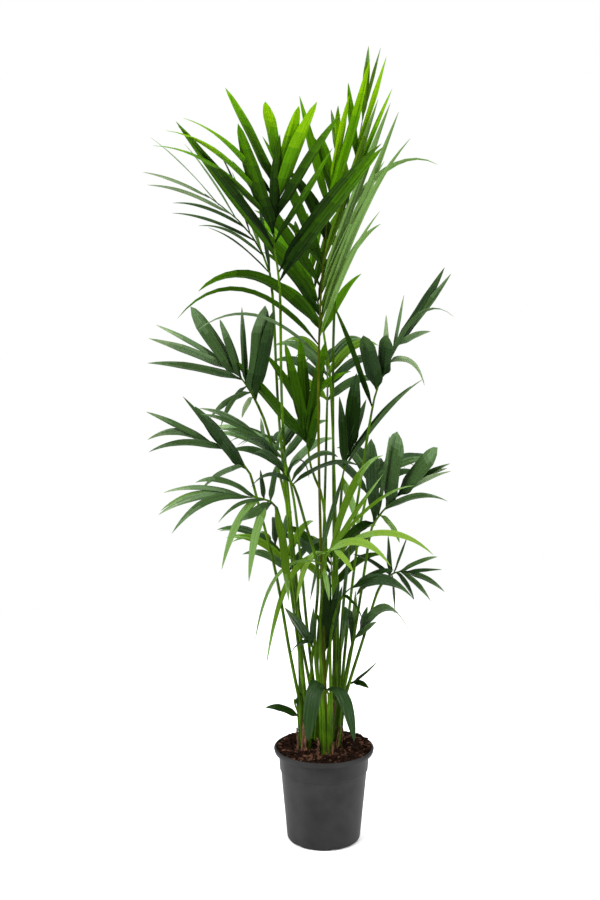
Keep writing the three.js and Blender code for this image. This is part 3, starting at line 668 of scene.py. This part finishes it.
        stalk=[[-2, -16, 451]], rib=[[1, -14, 471], [4, -14, 491], [6, -14, 506]],
        left=[[20, 8, 170, 23, 0], [80, 25, 80, 18, 0.2]],
        right=[[50, -5, 210, 23, 0], [80, 4, 160, 21, 0]], tones="Ri PP",
    ),
    "foot_front": dict(
        stem="centre", seat=5, whole=True, twist=-35, face=[0, -0.3, 1],
        stalk=[[10, -52, 372]], rib=[[6, -62, 388], [3, -72, 396], [0, -82, 402]],
        left=[[60, 38, 190, 34, 4.2, 0.5]], right=[[70, 6, 198, 38, 5, 0.62]],
        tones="R R", shades=[-2, -1, -1, 0, 0, 0, 0, 0],
    ),
    "foot_left": dict(
        stem="left", seat=3, whole=True, face=[0, -0.9, 0.4],
        stalk=[[-70, -12, 349]], rib=[[-69, -24, 341], [-64, -34, 329], [-59, -41, 316]],
        left=[[9, 150, 62, 8, 2]], right=[[88, 139, 84, 19, 0.8]], tones="P P",
    ),
    "foot_right": dict(
        stem="far", seat=5, whole=True, face=[-0.2, -0.7, 0.7],
        stalk=[[54, 42, 362]], rib=[[59, 39, 370], [66, 37, 376], [75, 35, 381]],
        left=[[20, -12, 110, 13, -0.2]], right=[[60, 26, 55, 14, 0.9]], tones="R i",
    ),
    "back_high": dict(
        stem="far", seat=1, face=[0, -0.2, 1],
        stalk=[[30, 88, 700], [18, 140, 1060], [4, 172, 1180]],
        rib=[[-14, 215, 1280], [-36, 275, 1355], [-60, 335, 1395]],
        even=dict(pairs=7, longest=250, width=22, droop=0.6, splay=[32, 12]), tones="mimg",
    ),
    "back_mid": dict(
        stem="back", seat=1, face=[0, -0.2, 1],
        stalk=[[-4, 80, 560], [4, 120, 860], [8, 150, 1020]],
        rib=[[10, 190, 1085], [8, 250, 1130], [4, 320, 1135]],
        even=dict(pairs=6, longest=200, width=22, droop=1.1, splay=[46, 16]), tones="lRL",
    ),
    "back_left": dict(
        stem="back", seat=2, face=[0, -0.2, 1],
        stalk=[[-40, 84, 500], [-66, 130, 760], [-82, 165, 850]],
        rib=[[-98, 205, 900], [-118, 265, 925], [-134, 330, 920]],
        even=dict(pairs=6, longest=220, width=20, droop=0.8, splay=[52, 16]), tones="RLS",
    ),
    "back_right": dict(
        stem="far", seat=6, face=[0, -0.2, 1],
        stalk=[[58, 92, 500], [85, 140, 710], [102, 172, 790]],
        rib=[[118, 210, 836], [138, 270, 858], [152, 335, 856]],
        even=dict(pairs=6, longest=205, width=20, droop=0.9, splay=[44, 16]), tones="RLR",
    ),
    "back_low": dict(
        stem="far", seat=2, face=[0, -0.2, 1],
        stalk=[[26, 92, 440], [24, 132, 560]], rib=[[22, 165, 610], [20, 215, 640], [18, 270, 640]],
        even=dict(pairs=5, longest=220, width=20, droop=0.9, splay=[44, 16]), tones="lRi",
    ),
    "back_low_left": dict(
        stem="back", seat=3, face=[0, -0.2, 1],
        stalk=[[-52, 78, 460], [-78, 110, 610]],
        rib=[[-95, 140, 660], [-118, 175, 685], [-138, 210, 688]],
        even=dict(pairs=5, longest=180, width=19, droop=0.9, splay=[46, 18]), tones="LlR",
    ),
}

# ---------------- fronds


def seat_of(stem, seat):
    """Where a stalk stands on its stem: seat 0 is the crown's middle, the rest lie round it."""
    x, y = stem["crown"]
    turn = 2 * math.pi * seat / SEATS.round
    out = SEATS.circle if seat else 0
    return Vector((x + out * math.cos(turn), y + out * math.sin(turn), stem["top"] + SEATS.gap))


def even_leaflets(pairs, longest, width, droop, splay):
    """Pairs at even distances, longest at the middle of the rib."""
    rows = []
    for k in range(pairs):
        u = (k + 0.5) / pairs
        length = longest * mix(LEAFLET.shortest, 1, math.sin(math.pi * u))
        rows.append([100 * u, mix(*splay, u), length, width, droop])
    return rows


def way_of(row):
    """The frond's way from its seat to the tip of its rib, and the place of its neck."""
    points = [seat_of(STEMS[row["stem"]], row["seat"])]
    points += [Vector(point) for point in row["stalk"]]
    neck = len(points) - 1
    way = Way(points + [Vector(point) for point in row["rib"]])
    return way, way.place_of(neck)


def half_width(u, width, full_to):
    """Half a leaflet's width, from the narrow root over the even middle to the drawn-out tip."""
    kind = "broad" if width >= LEAFLET.broad_from else "slender"
    closing = min(1, (1 - u) / (1 - full_to)) ** LEAFLET.closing[kind]
    opening = eased(u / LEAFLET.full_from)
    return max(LEAFLET.tip_half, mix(LEAFLET.root_half, width / 2, opening) * closing)


def leaflet_stations(root, along, face, side, turned, leaflet, chance):
    """Centre, heading and upper side of a leaflet at even steps from root to tip."""
    _, angle, length, _, droop, *_ = leaflet
    upper = squared(face, along)
    sideways = along.cross(upper) * side
    turn = math.radians(angle)
    start = along * math.cos(turn) + sideways * math.sin(turn) + upper * LEAFLET.lift
    start.normalize()
    swing = Quaternion(start, math.radians(turned) * side) @ upper.cross(start)
    across = swing
    steps = LEAFLET.along
    wring = math.radians(chance.uniform(-LEAFLET.wring, LEAFLET.wring))
    sway = chance.uniform(-LEAFLET.sway, LEAFLET.sway)
    centre = root.copy()
    stations = []
    for k in range(steps + 1):
        middle = min(1, (k + 0.5) / steps)
        swayed = sway * math.sin(LEAFLET.sway_turn * middle)
        heading = start - UP * (droop * middle**LEAFLET.droop_grows) + swing * swayed
        heading.normalize()
        across = squared(across, heading)  # carried along, so that a bend doesn't wring the blade
        wide = Quaternion(heading, wring * middle) @ across
        stations.append((centre.copy(), wide, heading.cross(wide)))
        centre += heading * (length / steps)
    return stations


def add_leaflet(bm, veins, stations, leaflet, tones, chance):
    """One blade: a grid laid along its stations, folded like a roof along the midrib.

    The tones are the material numbers of its parts from root to tip, with painted shade towards the
    root and painted light towards the tip.
    """
    _, _, length, width, _, *rest = leaflet
    full_to = rest[0] if rest else LEAFLET.full_to
    steps, strips = LEAFLET.along, LEAFLET.across
    made = bmesh.ops.create_grid(bm, x_segments=strips, y_segments=steps, size=0.5)["verts"]
    phase = chance.uniform(0, 6)
    shifts = [chance.uniform(-1, 1) * LEAFLET.ragged for _ in range(strips)]
    laid = {}
    for vert in made:
        across = -2 * vert.co.x
        step = round((vert.co.y + 0.5) * steps)
        u = step / steps
        centre, wide, blade = stations[step]
        half = half_width(u, width, full_to)
        unfolded = eased(u / LEAFLET.fold_eased)
        fold = math.radians(mix(LEAFLET.fold_root, LEAFLET.fold_blade, unfolded))
        ripple = LEAFLET.ripple * half * math.sin(LEAFLET.ripple_turn * u + phase) * across
        vert.co = centre + wide * (across * half * math.cos(fold))
        vert.co -= blade * (abs(across) * half * math.sin(fold) + ripple)
        laid[vert] = (across, u, Vector((across * half, u * length)) * MM)
    for face in faces_of(made):
        across, u = (sum(laid[vert][k] for vert in face.verts) / 4 for k in (0, 1))
        place = u + shifts[int((across + 1) / 2 * strips)]
        face.material_index = tones[sum(place > share for share in LEAFLET.tone_shares)]
        for loop in face.loops:
            loop[veins].uv = laid[loop.vert][2]


def blades_of(row):
    """The frond's leaflets, as (side, leaflet, tone)."""
    if "even" in row:
        sides = [even_leaflets(**row["even"])] * 2
        tones = [row["tones"] * len(sides[0]), row["tones"][::-1] * len(sides[0])]
    else:
        sides = [row["left"], row["right"]]
        tones = row["tones"].split()
    return [
        (side, leaflet, tone)
        for side, leaflets, letters in zip((-1, 1), sides, tones)
        for leaflet, tone in zip(leaflets, letters)
    ]


def tones_along(tone, steps):
    """The greens of a blade's parts from root to tip, painted shade to painted light: a letter
    each, or the two it lies between.
    """
    kind = next(kind for kind in SHADES if tone in kind)
    places = [min(2 * len(kind) - 2, max(0, 2 * kind.index(tone) + step)) for step in steps]
    return [kind[place // 2 : (place + 3) // 2] for place in places]


def make_leaflets(name, row, way, neck):
    """All the leaflets of a frond as one piece of thin closed blades."""
    chance = random.Random(SEED + sum(map(ord, name)))
    bm = bmesh.new()
    veins = bm.loops.layers.uv.new("Blade")
    blades = blades_of(row)
    # each blade's parts step from painted shade at the root to painted light at the tip
    parts = {tone: tones_along(tone, row.get("shades", SHADED)) for _, _, tone in blades}
    used = sorted({letter for letters in parts.values() for letter in letters})
    first = LEAFLET.first / way.length
    turned = row.get("twist", LEAFLET.twist)
    for side, leaflet, tone in blades:
        place = neck + first + (1 - neck - first) * min(LEAFLET.last, leaflet[0] / 100)
        stations = leaflet_stations(
            way.at(place), way.along(place), Vector(row["face"]), side, turned, leaflet, chance
        )
        tones = [used.index(letter) for letter in parts[tone]]
        add_leaflet(bm, veins, stations, leaflet, tones, chance)
    bmesh.ops.solidify(bm, geom=bm.faces, thickness=LEAFLET.thickness)
    piece = add_piece(f"leaflets_{name}", bm, [green(letters) for letters in used])
    place_piece(piece, row.get("slot", "dark_blade"), f"frond_{name}")


def channelled():
    """Outline of a leaf stalk: round below, with a shallow channel along its upper side."""
    reaches = []
    for k in range(STALK.sides):
        turn = 2 * math.pi * k / STALK.sides
        off = min(turn, 2 * math.pi - turn) / STALK.channel_wide
        reaches.append(1 - STALK.channel * math.exp(-(off**2)))
    return reaches


def make_stalk(name, row, way, neck):
    """The leaf stalk with its clasping base and the rib of its blade, as one tapering limb."""
    stem = STEMS[row["stem"]]
    face = Vector(row["face"])
    seat = way.at(0)
    foot = Vector((*stem["foot"], SOIL_TOP - SUNK))
    out = Vector((seat.x - stem["crown"][0], seat.y - stem["crown"][1], 0))
    foot += out * STALK.gathered
    rings = []  # centre, axis, half the depth and half the width, from the foot up
    for k in range(STALK.rise):
        t = eased(k / STALK.rise)
        wide = mix(STALK.base, STALK.foot, t)
        deep = mix(STALK.base_deep, STALK.foot, t)
        rings.append((foot.lerp(seat, k / STALK.rise), (seat - foot).normalized(), deep, wide))
    for k in range(STALK.steps + 1):
        place = k / STALK.steps
        if place < neck:
            slimmed = min(1, STALK.slims * place / neck)
            reach = mix(STALK.foot, STALK.neck, slimmed)
        else:
            reach = mix(RIB.neck, RIB.tip, (place - neck) / (1 - neck)) * RIB.slim
        rings.append((way.at(place), way.along(place), reach * STALK.flat, reach))
    upper = face
    stations = []
    for centre, axis, deep, wide in reversed(rings):  # the upper side is carried down from the tip
        upper = squared(upper, axis)
        stations.insert(0, station(centre, axis, upper, deep, wide))
    bm = bmesh.new()
    add_limb(bm, stations, channelled())
    piece = add_piece(f"leaf_stalk_{name}", bm, [stalk_rinds[row.get("rind", "green")]])
    nodes = [] if row.get("whole") else [f"stalk_{name}"]
    place_piece(piece, "leaf_stalk", *nodes)


# ---------------- stems, substrate and pot

STEM_CORE = Sizes(
    foot=12, waist=9, crown=7, sides=14, steps=8, ridges=(0.78, 1.1),
    below_crown=34,  # mm, where the core ends
)
SHEATH = Sizes(
    strips=3, heights=(14, 45), spans=(18, 34), radius=16, crumple=3.6, crumple_length=11,
    thickness=0.8, columns=5, rows=18, lean=0.4, narrowed=0.25, torn=0.7,
    stand_off=2.5,  # mm at the upper end, at most
    curl=4, curl_from=0.78, curled=(0.2, 3.4),  # radius, share of the height, and radians
)
FIBRES = Sizes(
    count=5, lengths=(8, 26), reach=0.3, tip=0.15, steps=5,
    heights=(0.2, 0.95),  # of the strip's own
    clear=0.5, round=0.4, out=0.3, aside=0.6, bend=0.3, sag=0.5,
)


def make_stem(name, stem):
    """A short stem: a core between the stalks' bases, with torn dry sheaths and fibres round it."""
    chance = random.Random(SEED + len(name) * 7 + ord(name[0]))
    bm = bmesh.new()
    foot, crown = (Vector((*stem[end], 0)) for end in ("foot", "crown"))
    low, high = SOIL_TOP - SUNK, stem["top"] - STEM_CORE.below_crown
    stations = []
    for k in range(STEM_CORE.steps + 1):
        t = k / STEM_CORE.steps
        reach = mix(STEM_CORE.foot, STEM_CORE.waist, min(1, 2 * t))
        reach = mix(reach, STEM_CORE.crown, max(0, 2 * t - 1))
        centre = foot.lerp(crown, t) + UP * mix(low, high, t)
        stations.append(station(centre, UP, Vector((1, 0, 0)), reach, reach))
    ridges = [chance.uniform(*STEM_CORE.ridges) for _ in range(STEM_CORE.sides)]
    add_limb(bm, stations, ridges)
    cored = len(bm.faces)
    strips = list(stem["strips"])
    for k in range(SHEATH.strips):
        turn = 360 * (k + chance.random()) / SHEATH.strips
        height, span = chance.uniform(*SHEATH.heights), chance.uniform(*SHEATH.spans)
        strips.append((turn, height, span, SHEATH.radius))
    for strip in strips:
        add_sheath(bm, foot, crown, stem["top"], strip, chance)
        add_fibres(bm, foot, crown, stem["top"], strip, chance)
    bm.faces.ensure_lookup_table()
    for face in bm.faces[cored:]:
        face.material_index = 1
    piece = add_piece(f"sheathed_stem_{name}", bm, [stalk_rinds["green"], sheath_fibre])
    place_piece(piece, "sheathed_stem", f"stem_{name}")


def beside(foot, crown, top, z, turn, reach):
    """A place beside a stem, at that height above its foot."""
    centre = foot.lerp(crown, (z + SUNK) / (top - SOIL_TOP))
    around = Vector((math.cos(turn), math.sin(turn), 0))
    return centre + around * reach + UP * (SOIL_TOP - SUNK + z)


def add_sheath(bm, foot, crown, top, strip, chance):
    """A torn strip of dry sheath along the stem, ragged and curled at its upper end."""
    columns, rows = SHEATH.columns, SHEATH.rows
    turn, height, span, radius = strip
    turn, span = math.radians(turn), math.radians(span)
    lean = chance.uniform(-SHEATH.lean, SHEATH.lean)
    curled = chance.uniform(*SHEATH.curled)
    stand = chance.uniform(0, SHEATH.stand_off)
    bend_from = SHEATH.curl_from
    made = bmesh.ops.create_grid(bm, x_segments=columns, y_segments=rows, size=0.5)["verts"]
    tears = [chance.uniform(SHEATH.torn, 1) for _ in range(columns + 1)]
    for vert in made:
        column = round((vert.co.x + 0.5) * columns)
        u = (vert.co.y + 0.5) * tears[column]
        bend = curled * max(0, u - bend_from) / (1 - bend_from)
        z = min(u, bend_from) * height + SHEATH.curl * math.sin(bend)
        narrowed = mix(1, SHEATH.narrowed, u)
        angle = turn + (column / columns - 0.5) * span * narrowed + lean * u
        spot = Vector((vert.co.x * columns, u * height / SHEATH.crumple_length, turn))
        crumple = SHEATH.crumple * noise.noise(spot)
        reach = radius + stand * u + crumple + SHEATH.curl * (1 - math.cos(bend))
        vert.co = beside(foot, crown, top, z, angle, reach)
    faces = faces_of(made)
    bmesh.ops.recalc_face_normals(bm, faces=faces)
    bm.normal_update()
    for part in bmesh.ops.extrude_face_region(bm, geom=faces)["geom"]:
        if isinstance(part, bmesh.types.BMVert):
            part.co += part.normal * SHEATH.thickness


def add_fibres(bm, foot, crown, top, strip, chance):
    """Loose fibres that stand off a strip of sheath."""
    turn, height, _, radius = strip
    turn = math.radians(turn)
    for _ in range(FIBRES.count):
        start = beside(
            foot, crown, top, height * chance.uniform(*FIBRES.heights),
            turn + chance.uniform(-FIBRES.round, FIBRES.round), radius + FIBRES.clear,
        )
        out = squared(start - foot, UP)
        side = UP.cross(out)
        length = chance.uniform(*FIBRES.lengths)
        heading = UP + out * chance.uniform(0, FIBRES.out)
        heading += side * chance.uniform(-FIBRES.aside, FIBRES.aside)
        stations = []
        for k in range(FIBRES.steps + 1):
            heading += side * chance.uniform(-FIBRES.bend, FIBRES.bend)
            heading -= UP * chance.uniform(0, FIBRES.sag)
            heading.normalize()
            reach = mix(FIBRES.reach, FIBRES.tip, k / FIBRES.steps)
            stations.append(station(start, heading, squared(out, heading), reach, reach))
            start = start + heading * (length / FIBRES.steps)
        add_limb(bm, stations, [1, 1, 1])


POT = Sizes(
    height=230, foot=88, rounding=5, step=175, step_rise=1.5, below_step=103.5, above_step=106,
    neck=108.5, lip=120, lip_height=12, wall=2.2, floor=3, sides=128,
    lip_skirt=2,  # how much narrower the lip is at its lower edge
    lip_round=((0, 3), (0.9, 1), (2.6, 0)),  # inward and down from the lip's outer edge
    lip_ledge=3.2,  # how far the wall reaches inward at the top
    foot_bevel=2.4, fine_bevel=0.5,
    notches=6, notch_width=16, notch_height=4, first_notch=45,
)
LIP_FOOT = POT.height - POT.lip_height


def spun(outline, sides):
    """A closed turned body; its outline starts and ends on the axis."""
    bm = bmesh.new()
    verts = [bm.verts.new((r, 0, z)) for r, z in outline]
    edges = [bm.edges.new(pair) for pair in zip(verts, verts[1:])]
    bmesh.ops.spin(
        bm, geom=verts + edges, cent=(0, 0, 0), axis=(0, 0, 1), angle=2 * math.pi,
        steps=sides, use_merge=True,
    )
    bmesh.ops.remove_doubles(bm, verts=bm.verts, dist=0.001)
    return bm


def rings_at(bm, corners):
    """The round edges that run through the given (radius, height) corners."""
    found = []
    for edge in bm.edges:
        spots = {(round(vert.co.xy.length, 2), round(vert.co.z, 2)) for vert in edge.verts}
        if len(spots) == 1 and next(iter(spots)) in corners:
            found.append(edge)
    return found


def bevel(bm, corners, width, segments):
    bmesh.ops.bevel(
        bm, geom=rings_at(bm, corners), offset=width, segments=segments, profile=0.5,
        affect="EDGES", material=-1,
    )


def cut_notches(bm):
    """Lifts the rim of the underside at the drain notches."""
    lifted = []
    for vert in bm.verts:
        outer = vert.co.xy.length > POT.foot - POT.rounding - 0.5
        turn = math.degrees(math.atan2(vert.co.y, vert.co.x)) - POT.first_notch
        apart = 360 / POT.notches
        off = abs((turn + apart / 2) % apart - apart / 2)
        near = math.radians(off) * POT.foot < POT.notch_width / 2
        if outer and near and vert.co.z < POT.rounding - 1:
            lifted.append(vert)
    bmesh.ops.translate(bm, verts=lifted, vec=(0, 0, POT.notch_height))


def make_pot():
    lip, neck, wall, height = POT.lip, POT.neck, POT.wall, POT.height
    foot = [(POT.foot - POT.rounding, 0), (POT.foot, POT.rounding)]
    step = [(POT.below_step, POT.step), (POT.above_step, POT.step + POT.step_rise)]
    under_lip = [(neck, LIP_FOOT), (lip - POT.lip_skirt, LIP_FOOT)]
    rim = [(lip - inward, height - down) for inward, down in POT.lip_round]
    ledge = (lip - wall - POT.lip_ledge, height)
    inside = [
        (lip - wall - POT.lip_skirt, LIP_FOOT + wall),
        (neck - wall, LIP_FOOT - 1),
        (POT.above_step - wall, POT.step + POT.step_rise),
        (POT.below_step - wall, POT.step - wall),
        (POT.foot - wall, POT.floor),
        (0, POT.floor),
    ]
    bm = spun([(0, 0), *foot, *step, *under_lip, *rim, ledge, *inside], POT.sides)
    cut_notches(bm)
    for corner in foot:
        bevel(bm, {corner}, POT.foot_bevel, segments=3)
    bevel(bm, {*step, *under_lip, ledge}, POT.fine_bevel, segments=2)
    piece = add_piece("nursery_pot", bm, [pot_plastic], sharp_over=math.radians(50))
    place_piece(piece, "pot", "pot")


SOIL = Sizes(
    lumps=3.2, lump_width=30, crumbs=1.6, crumbs_finer=3.1, right_heap=9, back_heap=7,
    # the stretches over which it rises along x and y, and over which it is levelled outwards
    right=(0, 95), right_along=(-80, 30), back=(-10, 60), near_wall=(85, 105), levelled=0.56,
    clear=0.4, rings=range(112, 0, -4), sides=96,
)
CHIPS = Sizes(
    count=1500, smallest=5, largest=17, reach=110, broken=(0.6, 1.15), long=1.2, flat=0.6,
    tilt=0.7, raised=0.1, shades=(0, 0, 0, 1),  # one in four is pale
)


def soil_height(x, y):
    """The top of the substrate, heaped towards the right and the back, where it reaches the lip."""
    spot = Vector((x / SOIL.lump_width, y / SOIL.lump_width, 0.4))
    lumps = SOIL.lumps * noise.noise(spot)
    lumps += SOIL.crumbs * noise.noise(spot * SOIL.crumbs_finer)
    right = SOIL.right_heap * rise(x, *SOIL.right) * rise(y, *SOIL.right_along)
    back = SOIL.back_heap * rise(y, *SOIL.back)
    levelled = SOIL.levelled * rise(math.hypot(x, y), *SOIL.near_wall)
    return SOIL_TOP + 1 + lumps * (1 - levelled) + max(right, back)


def make_substrate():
    """The filling: a body to the pot's wall, whose top is lumpy."""
    wall = POT.wall + SOIL.clear
    bottom = POT.floor + 0.5
    outline = [(0, bottom), (POT.foot - wall, bottom)]
    outline += [(POT.below_step - wall, POT.step - wall)]
    outline += [(POT.neck - wall, LIP_FOOT - 2), (POT.lip - wall - 4, LIP_FOOT + 3)]
    outline += [(r, SOIL_TOP) for r in SOIL.rings] + [(0, SOIL_TOP)]
    bm = spun(outline, SOIL.sides)
    for vert in bm.verts:
        if vert.co.z > SOIL_TOP - 1:
            vert.co.z = soil_height(vert.co.x, vert.co.y)
    piece = add_piece("potting_substrate", bm, [peat], sharp_over=math.radians(60))
    place_piece(piece, "soil", "soil")


def make_chips():
    """Bark chips and crumbs that lie on the substrate."""
    chance = random.Random(SEED)
    bm = bmesh.new()
    for _ in range(CHIPS.count):
        reach = CHIPS.reach * math.sqrt(chance.random())
        turn = chance.uniform(0, 2 * math.pi)
        x, y = reach * math.cos(turn), reach * math.sin(turn)
        size = mix(CHIPS.smallest, CHIPS.largest, chance.random() ** 2)
        made = bmesh.ops.create_icosphere(bm, subdivisions=1, radius=size / 2)["verts"]
        for vert in made:
            vert.co *= chance.uniform(*CHIPS.broken)
            vert.co.z *= CHIPS.flat
            vert.co.x *= CHIPS.long
        tilt = Quaternion((1, 0, 0), chance.uniform(-CHIPS.tilt, CHIPS.tilt))
        spin = Quaternion((0, 0, 1), chance.uniform(0, 2 * math.pi))
        lay = Matrix.Translation((x, y, soil_height(x, y) + CHIPS.raised * size))
        bmesh.ops.transform(bm, matrix=lay @ (spin @ tilt).to_matrix().to_4x4(), verts=made)
        shade = chance.choice(CHIPS.shades)
        for face in faces_of(made):
            face.material_index = shade
    piece = add_piece("bark_chips", bm, [dark_bark, pale_bark], sharp_over=math.radians(30))
    place_piece(piece, "soil")


def make_floor():
    bm = bmesh.new()
    bmesh.ops.create_circle(bm, cap_ends=True, segments=64, radius=2300)
    floor = add_piece("studio_floor", bm, [floor_material()])


# ---------------- everything

stalk_rinds = {
    "green": stalk_material("waxy_stalk_rind", "#122301", "#43640d"),
    "ripe": stalk_material("waxy_ripe_stalk_rind", "#1b2302", "#474f0c"),
}
sheath_fibre = sheath_material()
peat = bark_material("damp_peat", "#060302", "#1d110c", 6)
dark_bark = bark_material("damp_bark_chip", "#070402", "#2a1a13", 4)
pale_bark = bark_material("dry_bark_chip", "#21140e", "#634635", 4)
pot_plastic = pot_material()

make_camera()
make_lights()
make_world()
make_floor()
make_pot()
make_substrate()
make_chips()
for name, stem in STEMS.items():
    make_stem(name, stem)
for name, row in FRONDS.items():
    way, neck = way_of(row)
    make_stalk(name, row, way, neck)
    make_leaflets(name, row, way, neck)

bpy.context.scene.view_settings.view_transform = "Standard"
